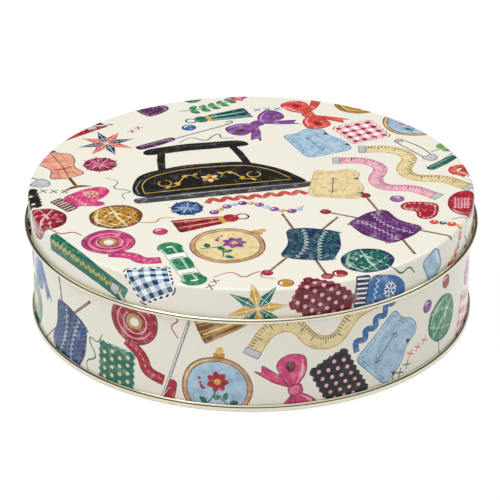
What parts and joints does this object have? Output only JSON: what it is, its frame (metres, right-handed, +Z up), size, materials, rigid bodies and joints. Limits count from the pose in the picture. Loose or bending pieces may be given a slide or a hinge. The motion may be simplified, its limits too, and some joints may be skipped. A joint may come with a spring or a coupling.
{
  "type": "round slip-lid tin",
  "caption": "Low round tin with a lift-off lid, a rolled bead round the lid's skirt, a lock-seamed wall and a double-seamed recessed base, for sewing things and keepsakes.",
  "frame": {"origin": "centre of the circle that the tin stands on", "axes": "+Z up through the lid, -Y the front as pictured, +Y the back, where the wall's lock seam is"},
  "size_m": [0.2028, 0.2028, 0.058],
  "materials": {
    "printed_tinplate": "glossy cream enamel with a printed pattern outside, gold lacquer inside and on the rolled edges",
    "gold_lacquer": "clear gold lacquer on bright tinplate"
  },
  "bodies": {
    "tin_body": {"body_wall": "printed_tinplate", "base_panel": "gold_lacquer"},
    "lid": {"lid": "printed_tinplate"}
  },
  "joints": [
    {"name": "lid_lift", "type": "slide", "parent": "tin_body", "child": "lid", "axis": [0, 0, 1], "range_m": [0, 0.06]}
  ]
}
